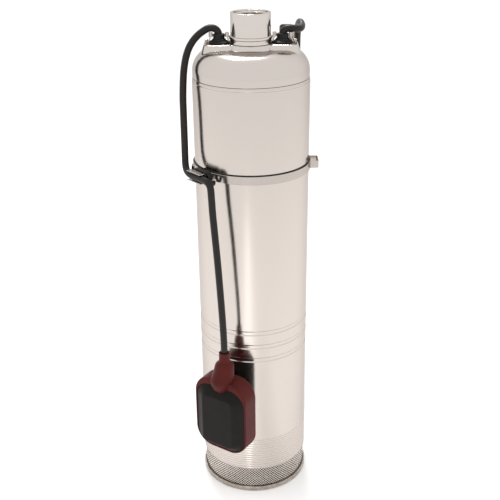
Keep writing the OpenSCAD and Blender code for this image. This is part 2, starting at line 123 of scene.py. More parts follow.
def latheParts(outline, segments, centre=(0, 0)):
    # outline is a list of (radius, height)
    points = []
    faces = []
    count = len(outline)
    for s in range(segments):
        angle = 2 * math.pi * s / segments
        for r, z in outline:
            points.append((centre[0] + r * math.cos(angle), centre[1] + r * math.sin(angle), z))
    for s in range(segments):
        a = s * count
        b = (s + 1) % segments * count
        for k in range(count):
            n = (k + 1) % count
            faces.append((a + k, b + k, b + n, a + n))
    return points, faces


def holdFlats(outline, closed=True, length=2.5, gap=0.3):
    # extra rings near the ends of long straight stretches keep their shading flat
    out = []
    for i, point in enumerate(outline):
        a = Vector(point)
        b = Vector(outline[(i + 1) % len(outline)])
        out.append(tuple(a))
        if (b - a).length > length and (closed or i < len(outline) - 1):
            step = (b - a).normalized() * gap
            out += [tuple(a + step), tuple(b - step)]
    return out


def lathe(name, outline, material, body, nodes, segments, sharpAngle=35):
    points, faces = latheParts(holdFlats(outline), segments)
    return addPiece(name, points, faces, material, body, nodes, sharpAngle)


def joinParts(*parts):
    points = []
    faces = []
    for morePoints, moreFaces in parts:
        shift = len(points)
        points += list(morePoints)
        faces += [tuple(i + shift for i in face) for face in moreFaces]
    return points, faces


def moveParts(parts, matrix):
    points, faces = parts
    return [tuple(matrix @ Vector(p)) for p in points], faces


def smoothRoute(points, step):
    # a curve through every point, then evenly spaced points along it
    knots = [Vector(p) for p in points]
    knots = [knots[0] * 2 - knots[1]] + knots + [knots[-1] * 2 - knots[-2]]
    fine = []
    for i in range(1, len(knots) - 2):
        p0, p1, p2, p3 = knots[i - 1:i + 3]
        t1 = (p1 - p0).length ** 0.5
        t2 = t1 + (p2 - p1).length ** 0.5
        t3 = t2 + (p3 - p2).length ** 0.5
        for k in range(24):
            t = t1 + (t2 - t1) * k / 24
            a1 = p0 * ((t1 - t) / t1) + p1 * (t / t1)
            a2 = p1 * ((t2 - t) / (t2 - t1)) + p2 * ((t - t1) / (t2 - t1))
            a3 = p2 * ((t3 - t) / (t3 - t2)) + p3 * ((t - t2) / (t3 - t2))
            b1 = a1 * ((t2 - t) / t2) + a2 * (t / t2)
            b2 = a2 * ((t3 - t) / (t3 - t1)) + a3 * ((t - t1) / (t3 - t1))
            fine.append(b1 * ((t2 - t) / (t2 - t1)) + b2 * ((t - t1) / (t2 - t1)))
    fine.append(knots[-2])
    route = [fine[0]]
    gone = 0
    for a, b in zip(fine, fine[1:]):
        gone += (b - a).length
        if gone >= step:
            route.append(b)
            gone = 0
    if gone > step / 3:
        route.append(fine[-1])
    else:
        route[-1] = fine[-1]
    return route


def tubeParts(route, radius, sides):
    # a closed tube whose rings don't twist
    points = []
    faces = []
    heading = (route[1] - route[0]).normalized()
    side = heading.orthogonal().normalized()
    for i, p in enumerate(route):
        ahead = (route[min(i + 1, len(route) - 1)] - route[max(i - 1, 0)]).normalized()
        side = (side - ahead * side.dot(ahead)).normalized()
        other = ahead.cross(side)
        for k in range(sides):
            a = 2 * math.pi * k / sides
            points.append(p + (side * math.cos(a) + other * math.sin(a)) * radius)
    for i in range(len(route) - 1):
        for k in range(sides):
            n = (k + 1) % sides
            faces.append((i * sides + k, i * sides + n, (i + 1) * sides + n, (i + 1) * sides + k))
    last = (len(route) - 1) * sides
    faces.append(tuple(range(sides - 1, -1, -1)))
    faces.append(tuple(last + k for k in range(sides)))
    return points, faces


def routeLength(route):
    return sum((b - a).length for a, b in zip(route, route[1:]))


def stripParts(path, thickness, low, high, bevel=0.3):
    # sheet metal bent along a flat path, standing from low to high
    line = [Vector(p) for p in path]
    sides = []
    for i, p in enumerate(line):
        ahead = (line[min(i + 1, len(line) - 1)] - line[max(i - 1, 0)]).normalized()
        sides.append(Vector((-ahead.y, ahead.x)))
    half = thickness / 2
    ring = [(-half, low + bevel), (-half + bevel, low), (half - bevel, low), (half, low + bevel),
            (half, high - bevel), (half - bevel, high), (-half + bevel, high), (-half, high - bevel)]
    points = []
    faces = []
    for p, side in zip(line, sides):
        for offset, z in ring:
            q = p + side * offset
            points.append((q.x, q.y, z))
    for i in range(len(line) - 1):
        for k in range(8):
            n = (k + 1) % 8
            faces.append((i * 8 + k, (i + 1) * 8 + k, (i + 1) * 8 + n, i * 8 + n))
    last = (len(line) - 1) * 8
    faces.append(tuple(range(8)))
    faces.append(tuple(last + k for k in range(7, -1, -1)))
    return points, faces


def roundedRing(width, height, radius, steps):
    # points of a rectangle with round corners, in x and z
    ring = []
    for cx, cz, start in ((1, 1, 0), (-1, 1, 90), (-1, -1, 180), (1, -1, 270)):
        for k in range(steps + 1):
            a = math.radians(start + 90 * k / steps)
            ring.append((cx * (width / 2 - radius) + radius * math.cos(a),
                         cz * (height / 2 - radius) + radius * math.sin(a)))
    return ring


def loftParts(levels, steps):
    # levels of (y, width, height, corner radius, middle height), one ring for each
    points = []
    faces = []
    for y, width, height, radius, middle in levels:
        for x, z in roundedRing(width, height, radius, steps):
            points.append((x, y, z + middle))
    count = 4 * (steps + 1)
    for i in range(len(levels) - 1):
        for k in range(count):
            n = (k + 1) % count
            faces.append((i * count + k, i * count + n, (i + 1) * count + n, (i + 1) * count + k))
    last = (len(levels) - 1) * count
    faces.append(tuple(range(count - 1, -1, -1)))
    faces.append(tuple(last + k for k in range(count)))
    return points, faces


cameraPlace = {"position": (0, -1074.75, 824.08), "pitch": 23.765, "roll": -0.53, "lens": 61.44,
               "sensorWidth": 36, "shift": -0.0054, "farthest": 20}
print("camera")
cameraData = bpy.data.cameras.new("camera")
cameraData.lens = cameraPlace["lens"]
cameraData.sensor_width = cameraPlace["sensorWidth"]
cameraData.shift_x = cameraPlace["shift"]
cameraData.clip_end = cameraPlace["farthest"]
camera = bpy.data.objects.new("camera", cameraData)
bpy.context.scene.collection.objects.link(camera)
camera.matrix_world = (Matrix.Translation(Vector(cameraPlace["position"]) * mm)
                       @ Matrix.Rotation(math.radians(90 - cameraPlace["pitch"]), 4, "X")
                       @ Matrix.Rotation(math.radians(cameraPlace["roll"]), 4, "Z"))
bpy.context.scene.camera = camera


def startMaterial(name):
    material = bpy.data.materials.new(name)
    material.use_nodes = True
    tree = material.node_tree
    tree.nodes.clear()
    return material, tree, addNode(tree, "ShaderNodeTexCoord").outputs["Object"]


def brightAnnealedSteel(name, colour, low, high, ripple=0.004):
    # rolled sheet: a soft mirror with long faint ripples and rolling lines up its length
    # the lines are really finer than a hair, and are drawn 0.6 mm apart so that they show
    material, tree, place = startMaterial(name)
    long = addNode(tree, "ShaderNodeMapping", {"Scale": (12, 12, 3)}, {"Vector": place})
    slow = addNode(tree, "ShaderNodeTexNoise", {"Scale": 1.0, "Detail": 2.0},
                   {"Vector": long.outputs["Vector"]})
    rolled = addNode(tree, "ShaderNodeMapping", {"Scale": (1 / (0.6 * mm), 1 / (0.6 * mm), 1 / (60 * mm))},
                     {"Vector": place})
    lines = addNode(tree, "ShaderNodeTexNoise", {"Scale": 1.0, "Detail": 2.0},
                    {"Vector": rolled.outputs["Vector"]})
    rough = addNode(tree, "ShaderNodeMapRange",
                    {"From Min": 0.3, "From Max": 0.7, "To Min": low, "To Max": high},
                    {"Value": lines.outputs["Fac"]})
    bump = addNode(tree, "ShaderNodeBump", {"Distance": ripple * mm}, {"Height": slow.outputs["Fac"]})
    shader = addNode(tree, "ShaderNodeBsdfPrincipled",
                     {"Base Color": toLinear(colour), "Metallic": 1.0,
                      "Specular Tint": toLinear("#cfcdcc")},
                     {"Roughness": rough.outputs["Result"], "Normal": bump.outputs["Normal"]})
    addNode(tree, "ShaderNodeOutputMaterial", links={"Surface": shader.outputs["BSDF"]})
    return material


def pickledSteel():
    # pressed and pickled sheet: darker than the polished parts, broad soft reflections, slight mottling
    material, tree, place = startMaterial("stainless sheet, pickled")
    mottle = addNode(tree, "ShaderNodeTexNoise", {"Scale": 1 / (6 * mm), "Detail": 4.0}, {"Vector": place})
    spread = addNode(tree, "ShaderNodeMapRange", {"From Min": 0.35, "From Max": 0.65},
                     {"Value": mottle.outputs["Fac"]})
    colour = addNode(tree, "ShaderNodeMix", {6: toLinear("#a1988f"), 7: toLinear("#bcb3aa")},
                     {0: spread.outputs["Result"]}, data_type="RGBA")
    rough = addNode(tree, "ShaderNodeMapRange", {"To Min": 0.26, "To Max": 0.38},
                    {"Value": mottle.outputs["Fac"]})
    shader = addNode(tree, "ShaderNodeBsdfPrincipled", {"Metallic": 1.0},
                     {"Base Color": colour.outputs[2], "Roughness": rough.outputs["Result"]})
    addNode(tree, "ShaderNodeOutputMaterial", links={"Surface": shader.outputs["BSDF"]})
    return material


def stainedSteelFloor():
    # the inside floor of the strainer: painted shade, a near-black matt colour for the shade down in that
    # recess
    material, tree, place = startMaterial("stainless sheet, stained black")
    spots = addNode(tree, "ShaderNodeTexNoise", {"Scale": 1 / (4 * mm), "Detail": 4.0}, {"Vector": place})
    colour = addNode(tree, "ShaderNodeMix", {6: toLinear("#0e0c0a"), 7: toLinear("#1f1b17")},
                     {0: spots.outputs["Fac"]}, data_type="RGBA")
    rough = addNode(tree, "ShaderNodeMapRange", {"To Min": 0.6, "To Max": 0.85},
                    {"Value": spots.outputs["Fac"]})
    shader = addNode(tree, "ShaderNodeBsdfPrincipled", {"Specular IOR Level": 0.2},
                     {"Base Color": colour.outputs[2], "Roughness": rough.outputs["Result"]})
    addNode(tree, "ShaderNodeOutputMaterial", links={"Surface": shader.outputs["BSDF"]})
    return material


def punchedSheet():
    # punched and left bright: mill finish, with a grain that dulls it in patches
    material, tree, place = startMaterial("stainless sheet, punched")
    grain = addNode(tree, "ShaderNodeTexNoise", {"Scale": 1 / (1.5 * mm), "Detail": 3.0}, {"Vector": place})
    rough = addNode(tree, "ShaderNodeMapRange", {"To Min": 0.14, "To Max": 0.28},
                    {"Value": grain.outputs["Fac"]})
    colour = addNode(tree, "ShaderNodeMix", {6: toLinear("#d3cbc3"), 7: toLinear("#e2dad3")},
                     {0: grain.outputs["Fac"]}, data_type="RGBA")
    shader = addNode(tree, "ShaderNodeBsdfPrincipled", {"Metallic": 1.0},
                     {"Base Color": colour.outputs[2], "Roughness": rough.outputs["Result"]})
    addNode(tree, "ShaderNodeOutputMaterial", links={"Surface": shader.outputs["BSDF"]})
    return material


waveSpacing = 6.28  # distance between a wave texture's bands at scale 1


def turnedMetal(name, colour, feedMm, low, high):
    # lathe work: fine tool rings a feed apart break the reflection into bands
    material, tree, place = startMaterial(name)
    rings = addNode(tree, "ShaderNodeTexWave",
                    {"Scale": 1 / (feedMm * mm) / waveSpacing, "Distortion": 0.6, "Detail": 1.0},
                    {"Vector": place}, wave_type="BANDS", bands_direction="Z")
    wear = addNode(tree, "ShaderNodeTexNoise", {"Scale": 1 / (8 * mm), "Detail": 3.0}, {"Vector": place})
    rough = addNode(tree, "ShaderNodeMapRange",
                    {"From Min": 0.3, "From Max": 0.7, "To Min": low, "To Max": high},
                    {"Value": wear.outputs["Fac"]})
    bump = addNode(tree, "ShaderNodeBump", {"Distance": 0.002 * mm}, {"Height": rings.outputs["Fac"]})
    shader = addNode(tree, "ShaderNodeBsdfPrincipled",
                     {"Base Color": toLinear(colour), "Metallic": 1.0,
                      "Specular Tint": toLinear("#cfcdcc")},
                     {"Roughness": rough.outputs["Result"], "Normal": bump.outputs["Normal"]})
    addNode(tree, "ShaderNodeOutputMaterial", links={"Surface": shader.outputs["BSDF"]})
    return material


def blackRubber(name, hexLow, hexHigh, grainMm, low, high, depthMm):
    # extruded or moulded rubber: nearly black with a bloom of talc, fine grain and a dull broad sheen
    material, tree, place = startMaterial(name)
    talc = addNode(tree, "ShaderNodeTexNoise", {"Scale": 1 / (9 * mm), "Detail": 5.0}, {"Vector": place})
    colour = addNode(tree, "ShaderNodeMix", {6: toLinear(hexLow), 7: toLinear(hexHigh)},
                     {0: talc.outputs["Fac"]}, data_type="RGBA")
    grain = addNode(tree, "ShaderNodeTexNoise", {"Scale": 1 / (grainMm * mm), "Detail": 4.0},
                    {"Vector": place})
    rough = addNode(tree, "ShaderNodeMapRange",
                    {"From Min": 0.3, "From Max": 0.7, "To Min": low, "To Max": high},
                    {"Value": grain.outputs["Fac"]})
    bump = addNode(tree, "ShaderNodeBump", {"Distance": depthMm * mm}, {"Height": grain.outputs["Fac"]})
    shader = addNode(tree, "ShaderNodeBsdfPrincipled", {"Specular IOR Level": 0.3},
                     {"Base Color": colour.outputs[2], "Roughness": rough.outputs["Result"],
                      "Normal": bump.outputs["Normal"]})
    addNode(tree, "ShaderNodeOutputMaterial", links={"Surface": shader.outputs["BSDF"]})
    return material


def mouldedPlastic(name, hexLow, hexHigh, low, high, grainMm=0.9):
    # injection moulded: a spark-eroded grain softens the gloss and the colour is a little uneven
    material, tree, place = startMaterial(name)
    flow = addNode(tree, "ShaderNodeTexNoise", {"Scale": 1 / (25 * mm), "Detail": 3.0}, {"Vector": place})
    spread = addNode(tree, "ShaderNodeMapRange", {"From Min": 0.35, "From Max": 0.65},
                     {"Value": flow.outputs["Fac"]})
    colour = addNode(tree, "ShaderNodeMix", {6: toLinear(hexLow), 7: toLinear(hexHigh)},
                     {0: spread.outputs["Result"]}, data_type="RGBA")
    rough = addNode(tree, "ShaderNodeMapRange", {"To Min": low, "To Max": high},
                    {"Value": flow.outputs["Fac"]})
    grain = addNode(tree, "ShaderNodeTexVoronoi", {"Scale": 1 / (grainMm * mm)}, {"Vector": place})
    bump = addNode(tree, "ShaderNodeBump", {"Distance": 0.015 * mm}, {"Height": grain.outputs["Distance"]})
    shader = addNode(tree, "ShaderNodeBsdfPrincipled", {"Specular IOR Level": 0.12},
                     {"Base Color": colour.outputs[2], "Roughness": rough.outputs["Result"],
                      "Normal": bump.outputs["Normal"]})
    addNode(tree, "ShaderNodeOutputMaterial", links={"Surface": shader.outputs["BSDF"]})
    return material


def castIron():
    # sand cast and dipped in primer: a rough grey skin with fine pits
    material, tree, place = startMaterial("grey iron, cast")
    pits = addNode(tree, "ShaderNodeTexNoise", {"Scale": 1 / (2 * mm), "Detail": 6.0}, {"Vector": place})
    colour = addNode(tree, "ShaderNodeMix", {6: toLinear("#43464a"), 7: toLinear("#5b5e60")},
                     {0: pits.outputs["Fac"]}, data_type="RGBA")
    bump = addNode(tree, "ShaderNodeBump", {"Distance": 0.12 * mm}, {"Height": pits.outputs["Fac"]})
    shader = addNode(tree, "ShaderNodeBsdfPrincipled", {"Metallic": 0.4, "Roughness": 0.62},
                     {"Base Color": colour.outputs[2], "Normal": bump.outputs["Normal"]})
    addNode(tree, "ShaderNodeOutputMaterial", links={"Surface": shader.outputs["BSDF"]})
    return material


def enamelledCopper():
    # wound wire: reddish strands a millimetre apart under clear varnish; the darker colour between strands
    # is painted shade and the lighter colour on their crowns a painted highlight
    material, tree, place = startMaterial("copper wire, enamelled")
    strands = addNode(tree, "ShaderNodeTexWave",
                      {"Scale": 1 / (1.0 * mm) / waveSpacing, "Distortion": 3.0, "Detail": 2.0},
                      {"Vector": place}, bands_direction="Z")
    colour = addNode(tree, "ShaderNodeMix", {6: toLinear("#7d3a1d"), 7: toLinear("#bd6a3c")},
                     {0: strands.outputs["Fac"]}, data_type="RGBA")
    bump = addNode(tree, "ShaderNodeBump", {"Distance": 0.3 * mm}, {"Height": strands.outputs["Fac"]})
    shader = addNode(tree, "ShaderNodeBsdfPrincipled", {"Metallic": 0.9, "Roughness": 0.3},
                     {"Base Color": colour.outputs[2], "Normal": bump.outputs["Normal"]})
    addNode(tree, "ShaderNodeOutputMaterial", links={"Surface": shader.outputs["BSDF"]})
    return material


def lappedCeramic():
    # dense silicon carbide: dark grey, almost a mirror on its lapped face
    material, tree, place = startMaterial("silicon carbide, lapped")
    grain = addNode(tree, "ShaderNodeTexNoise", {"Scale": 1 / (0.5 * mm), "Detail": 3.0}, {"Vector": place})
    colour = addNode(tree, "ShaderNodeMix", {6: toLinear("#393b3d"), 7: toLinear("#424446")},
                     {0: grain.outputs["Fac"]}, data_type="RGBA")
    rough = addNode(tree, "ShaderNodeMapRange", {"To Min": 0.1, "To Max": 0.2},
                    {"Value": grain.outputs["Fac"]})
    shader = addNode(tree, "ShaderNodeBsdfPrincipled", links={
        "Base Color": colour.outputs[2], "Roughness": rough.outputs["Result"]})
    addNode(tree, "ShaderNodeOutputMaterial", links={"Surface": shader.outputs["BSDF"]})
    return material


print("materials")
sheetSteel = brightAnnealedSteel("stainless sheet, bright annealed", "#c9c1bb", 0.15, 0.21)
fittingSteel = brightAnnealedSteel("stainless strip, bent", "#b8b0aa", 0.16, 0.24, 0.002)
socketSteel = turnedMetal("stainless tube, turned and polished", "#cfc8c2", 0.4, 0.12, 0.2)
barSteel = turnedMetal("stainless bar, turned", "#c9c1ba", 0.5, 0.12, 0.22)
brass = turnedMetal("brass, turned", "#c9a25e", 0.5, 0.18, 0.28)
pressedSteel = pickledSteel()
# painted shade for the floor inside the strainer
stainedSteel = stainedSteelFloor()
punchedSteel = punchedSheet()
cableRubber = blackRubber("EPDM rubber, extruded", "#100d0b", "#1a1613", 0.8, 0.36, 0.5, 0.02)
partRubber = blackRubber("nitrile rubber, moulded", "#0e0c0a", "#14110f", 1.2, 0.42, 0.6, 0.03)
maroonPlastic = mouldedPlastic("polypropylene, dark red, moulded", "#481613", "#501a17", 0.42, 0.52)
blackPlastic = mouldedPlastic("polypropylene, black, moulded", "#14110e", "#191512", 0.45, 0.58)
tieNylon = mouldedPlastic("nylon, black, moulded", "#1b1a19", "#262423", 0.3, 0.4, 0.5)
glassNylon = mouldedPlastic("noryl with glass fibre, moulded", "#a3a297", "#b5b4aa", 0.45, 0.6, 0.4)
iron = castIron()
copper = enamelledCopper()
ceramic = lappedCeramic()

nodeFinish = {
    "polished_steel": fittingSteel, "sheet_steel": barSteel, "base_steel": pressedSteel,
    "black_rubber": partRubber, "maroon_plastic": maroonPlastic, "black_plastic": blackPlastic,
    "noryl": glassNylon, "iron": iron, "brass": brass, "copper": copper, "ceramic": ceramic,
}
slotOf = {part["node"]: part["material_slot"] for part in frame["record"]["subparts"]}
for name, obj in frame["nodes"].items():
    obj.data.materials.clear()
    obj.data.materials.append(tieNylon if name == "coil_ties" else nodeFinish[slotOf[name]])


cable = {"radius": 4.5, "sides": 16, "step": 3.0}
floatRoute = [
    (-39.5, 0, 640), (-40, 0, 645.5), (-44, -0.5, 650), (-51, -1, 651), (-60, -2, 646.5), (-68, -3.5, 640),
    (-75, -7, 631), (-80, -12, 619), (-83, -18, 604), (-84.3, -23, 588), (-85, -26.5, 570),
    (-85, -28.5, 551), (-85, -29.5, 530), (-85, -30.5, 510), (-85, -32, 497), (-84.6, -36, 487.5),
    (-82.8, -43, 481.5), (-79, -50.7, 479), (-74, -56.5, 477.8), (-67, -64.7, 477.8),
    (-60.5, -72.4, 477.8), (-55, -79, 477), (-51.8, -82.7, 473), (-50.3, -84.5, 456), (-49.5, -86, 440),
    (-46.8, -90.5, 405), (-44.2, -94.5, 370), (-41.7, -98.7, 330), (-39.6, -102.7, 292),
    (-38.6, -104.8, 265), (-38.5, -105, 248)]
powerRoute = [
    (39.5, 0, 640), (39.8, 0, 645), (43, 0, 648.8), (49, 0, 649.8), (56, 1.5, 649), (61.5, 6, 648.5),
    (64, 14, 650), (63.5, 23, 652.5), (62, 33, 652), (61, 43, 645.5), (60.5, 51, 633), (60.5, 56, 614),
    (60.5, 58, 590), (60.5, 58, 560), (60.5, 58, 520), (60.5, 58, 480), (60.5, 58, 440), (60.5, 58, 400),
    (60.5, 58, 360), (60.5, 58, 320), (60.5, 58, 280), (60.5, 58, 240), (60.5, 58, 200), (60.5, 58, 160),
    (60.5, 58, 120), (60.5, 58, 85), (60.5, 58.5, 58), (61, 62, 36), (63, 72, 17), (66, 88, 7),
    (69, 106, 4.6), (71.5, 127, 5.2)]
coil = {"centre": (0, 165), "innerRadius": 38, "pitch": 9.1, "turns": 5, "layers": 5, "floor": 5.75,
        "shiftFrom": 300, "pointsPerTurn": 30,
        "liftFrom": 300, "liftTo": 61.8, "liftRadius": 60, "liftDegrees": 45, "liftSteps": 8}


def easeStep(t):
    t = min(max(t, 0), 1)
    return t * t * (3 - 2 * t)


def coilRoute():
    # layers wound outwards in and inwards out in turn, each turn stepping over near its end
    places = []
    for layer in range(coil["layers"]):
        rows = list(range(coil["turns"]))
        if layer % 2 == 0:
            rows.reverse()
        places += [(row, layer) for row in rows]
    points = []
    perTurn = coil["pointsPerTurn"]
    for turn, (row, layer) in enumerate(places):
        last = turn == len(places) - 1
        nextRow, nextLayer = (row, layer) if last else places[turn + 1]
        for k in range(perTurn):
            degrees = 360 * k / perTurn
            t = easeStep((degrees - coil["shiftFrom"]) / (360 - coil["shiftFrom"]))
            radius = coil["innerRadius"] + coil["pitch"] * (row + (nextRow - row) * t)
            z = coil["floor"] + coil["pitch"] * (layer + (nextLayer - layer) * t)
            angle = math.radians(degrees)
            points.append(Vector((coil["centre"][0] + radius * math.cos(angle),
                                  coil["centre"][1] + radius * math.sin(angle), z)))
    top = points[-1].z
    # the last turn climbs out of the coil and swings wide over the top layer, to the plug
    rise = coil["liftTo"] - top
    first = coil["innerRadius"] * math.radians(360 - coil["liftFrom"])
    whole = first + coil["liftRadius"] * math.radians(coil["liftDegrees"])
    for k in range(perTurn):
        degrees = 360 * k / perTurn
        if degrees > coil["liftFrom"]:
            gone = coil["innerRadius"] * math.radians(degrees - coil["liftFrom"])
            points[k - perTurn].z = top + rise * easeStep(gone / whole)
    shift = coil["innerRadius"] - coil["liftRadius"]
    for k in range(coil["liftSteps"] + 1):
        angle = math.radians(coil["liftDegrees"] * k / coil["liftSteps"])
        gone = first + coil["liftRadius"] * angle
        points.append(Vector((coil["centre"][0] + shift + coil["liftRadius"] * math.cos(angle),
                              coil["centre"][1] + coil["liftRadius"] * math.sin(angle),
                              top + rise * easeStep(gone / whole))))
    return points


print("cables")
floatLine = smoothRoute(floatRoute, cable["step"])
points, faces = tubeParts(floatLine, cable["radius"], cable["sides"])
floatCable = addPiece("floatCable", points, faces, cableRubber,
                      nodes=("float_cord_upper", "float_cord_lower"),
                      sharpAngle=60)
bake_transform(floatCable)

# two more points lead from the floor into the lowest turn of the coil
leadLine = smoothRoute(powerRoute + [(73.6, 146, 5.6), (74.4, 165, 5.75)], cable["step"])
powerLine = leadLine[:-1] + coilRoute()
points, faces = tubeParts(powerLine, cable["radius"], sides=12)
powerCable = addPiece("powerCable", points, faces, cableRubber, "pump", ("power_cord", "power_cord_coil"),
                      sharpAngle=60)
plug = {"place": (20.4, 207.4, coil["liftTo"]), "turn": 135, "ribs": 9, "ribPitch": 3.2, "length": 50}
print("plug")
plugOutline = [(0.01, 0), (5.4, 0), (6, 0.8), (7.4, 15)]
for i in range(plug["ribs"]):
    start = 15.6 + plug["ribPitch"] * i
    swell = 7.5 + 6.6 * easeStep(i / (plug["ribs"] - 2))
    plugOutline += [(swell - 0.7, start), (swell + 0.2, start + 0.7), (swell + 0.4, start + 1.6),
                    (swell - 0.5, start + 2.4)]
plugOutline += [(14.2, 45), (15, 45.8), (15, plug["length"] - 1), (14.2, plug["length"]),
                (0.01, plug["length"])]
points, faces = latheParts(holdFlats(plugOutline), 64)
plugTurn = (Matrix.Translation(plug["place"]) @ Matrix.Rotation(math.radians(plug["turn"]), 4, "Z")
            @ Matrix.Rotation(math.radians(90), 4, "Y"))
plugBody = addPiece("plugBody", *moveParts((points, faces), plugTurn), partRubber, "pump", ("plug_body",),
                    sharpAngle=40)

print("float cable", round(routeLength(floatLine)), "mm, power cable", round(routeLength(powerLine)), "mm")


body = {"radius": 75, "wall": 1.5, "bottom": 38.5, "seam": 587.6, "top": 591.5, "coverRadius": 74.2,
        "beads": (216.8, 237.1, 257.7), "beadWidth": 6.2, "beadDepth": 0.8,
        "grooves": 13, "grooveStart": 41.8, "groovePitch": 3.84, "grooveDepth": 0.4}


def sleeveOutline():
    outside = body["radius"]
    outline = [(outside - body["wall"], body["bottom"]), (outside - 0.4, body["bottom"]),
               (outside, body["bottom"] + 0.4)]
    for i in range(body["grooves"]):
        z = body["grooveStart"] + body["groovePitch"] * i
        for offset, depth in ((-1, 0), (-0.7, 0.1), (-0.35, 0.8), (0, 1), (0.35, 0.8), (0.7, 0.1), (1, 0)):
            outline.append((outside - body["grooveDepth"] * depth, z + offset))
    for low in body["beads"]:
        edge = ((-0.5, 0), (-0.2, 0.06), (0.15, 0.4), (0.5, 0.75), (0.85, 0.95), (1.2, 1))
        outline += [(outside - body["beadDepth"] * depth, low + z) for z, depth in edge]
        outline += [(outside - body["beadDepth"] * depth, low + body["beadWidth"] - z)
                    for z, depth in reversed(edge)]
    outline += [(outside, body["seam"] - 0.6), (outside - 0.5, body["seam"] - 0.2),
                (outside - 0.5, body["seam"] + 0.1), (outside - 0.2, body["seam"] + 0.5),
                (body["coverRadius"] + 0.15, body["top"] - 0.2), (body["coverRadius"] - 0.2, body["top"]),
                (outside - body["wall"], body["top"])]
    return outline


print("sleeve")
lathe("outerSleeve", sleeveOutline(), sheetSteel, "pump", ("outer_sleeve",), segments=256, sharpAngle=50)

cover = {"bottom": 591.7, "crown": 626.5, "shoulder": 27, "wall": 1.8, "hole": 24.5, "padTop": 633,
         "padX": 39.5, "padSize": (39, 41), "padCorner": 9, "bossRadius": 30.5, "bossFlat": 27.5,
         "wallSlope": 3.2, "edge": 0.9, "foot": 1.4}


def boxDistance(x, y, halfX, halfY, radius):
    dx = abs(x) - halfX + radius
    dy = abs(y) - halfY + radius
    return math.hypot(max(dx, 0), max(dy, 0)) + min(max(dx, dy), 0) - radius


def plateauHeight(x, y):
    pad = boxDistance(abs(x) - cover["padX"], y, cover["padSize"][0] / 2, cover["padSize"][1] / 2,
                      cover["padCorner"])
    boss = max(math.hypot(x, y) - cover["bossRadius"], abs(y) - cover["bossFlat"])
    t = min(pad, boss) + cover["edge"] * 0.6
    return cover["padTop"] - cover["wallSlope"] * (math.hypot(t, cover["edge"]) + t - 0.05) / 2


def coverOutline(inset):
    # from the hole outwards over the crown and shoulder, then down the skirt
    radius = body["coverRadius"] - inset
    bend = cover["shoulder"] - inset
    middle = (body["coverRadius"] - cover["shoulder"], cover["crown"] - cover["shoulder"])
    outline = [(r, cover["crown"] - inset) for r in (cover["hole"], 26, 27, 28, 29, 30, 31, 32)]
    outline += [(33 + 0.9 * k, cover["crown"] - inset) for k in range(15)]
    outline = [p for p in outline if p[0] < middle[0]]
    outline += [(middle[0] + bend * math.sin(math.radians(a)), middle[1] + bend * math.cos(math.radians(a)))
                for a in [2.2 * k for k in range(19)] + [42 + 4 * k for k in range(13)]]
    outline += [(radius, cover["bottom"] + 0.5), (radius - 0.4, cover["bottom"])]
    return outline


def coverParts(segments):
    outside = holdFlats(coverOutline(0), False)
    inside = coverOutline(cover["wall"])
    inside.reverse()
    outline = outside + inside
    points, faces = latheParts(outline, segments)
    count = len(outline)
    for i, (x, y, z) in enumerate(points):
        if i % count < len(outside) - 2:
            top = plateauHeight(x, y)
            points[i] = (x, y, (z + top + math.hypot(z - top, cover["foot"])) / 2)
    return points, faces


print("top cover")
points, faces = coverParts(segments=384)
addPiece("topCover", points, faces, sheetSteel, "pump", ("top_cover",), sharpAngle=70)

socket = {"radius": 25.1, "neck": 25.9, "bead": 27.1, "bore": 21, "top": 670, "threadRadius": 19.475,
          "threadDepth": 1.4, "threadPitch": 2.309, "threadFrom": 646, "threadTo": 668.4}


def socketOutline():
    radius = socket["radius"]
    neck = socket["neck"]
    bead = socket["bead"]
    root = socket["threadRadius"] + 1.5
    return roundCorners([
        (socket["bore"], 626.6), (radius, 626.6), (radius, 632.4), (neck + 1.6, 633.2), (neck, 635.2),
        (neck, 637.9), (bead, 638.4), (bead, 641.2), (radius, 641.9), (radius, socket["top"]),
        (socket["threadRadius"] + 1.7, socket["top"]), (root, socket["threadTo"]),
        (root, socket["threadFrom"]), (socket["bore"], 645.4)],
        [0, 0, 0, 0.6, 1, 0.4, 1.2, 1.2, 0.4, 0.7, 0.4, 0, 0, 0])


def threadParts(segments=96, perPitch=8):
    # one helical groove on the inside of a thin ring
    height = socket["threadTo"] - socket["threadFrom"]
    rows = int(height / socket["threadPitch"] * perPitch)
    points = []
    for s in range(segments):
        angle = 2 * math.pi * s / segments
        ring = [(socket["threadRadius"] + 1.6, socket["threadFrom"])]
        for k in range(rows + 1):
            z = socket["threadFrom"] + height * k / rows
            phase = (z / socket["threadPitch"] + s / segments) % 1
            fade = easeStep((socket["threadTo"] - z) / 1.5) * easeStep((z - socket["threadFrom"]) / 1.5)
            depth = socket["threadDepth"] * (1 - abs(2 * phase - 1) * fade)
            ring.append((socket["threadRadius"] + depth, z))
        ring.append((socket["threadRadius"] + 1.6, socket["threadTo"]))
        points += [(r * math.cos(angle), r * math.sin(angle), z) for r, z in ring]
    count = rows + 3
    faces = []
    for s in range(segments):
        a = s * count
        b = (s + 1) % segments * count
        faces += [(a + k, b + k, b + (k + 1) % count, a + (k + 1) % count) for k in range(count)]
    return points, faces


print("discharge socket")
points, faces = joinParts(latheParts(socketOutline(), segments=160), threadParts())
addPiece("dischargeSocket", points, faces, socketSteel, "pump", ("discharge_socket",))

foot = {"radius": 76, "height": 7, "recess": 73.4}
print("base and strainer")
basePlate = lathe("basePlate", roundCorners([
    (0.01, 0), (foot["radius"] - 1, 0), (foot["radius"], 1), (foot["radius"], foot["height"]),
    (foot["recess"] + 0.6, foot["height"]), (foot["recess"], 5), (71.8, 5), (71.8, 4), (0.01, 4)],
    [0, 0.4, 0.8, 0.9, 0.6, 0, 0, 0, 0]), pressedSteel, "pump", ("base_plate",), segments=192)
basePlate.data.materials.append(stainedSteel)
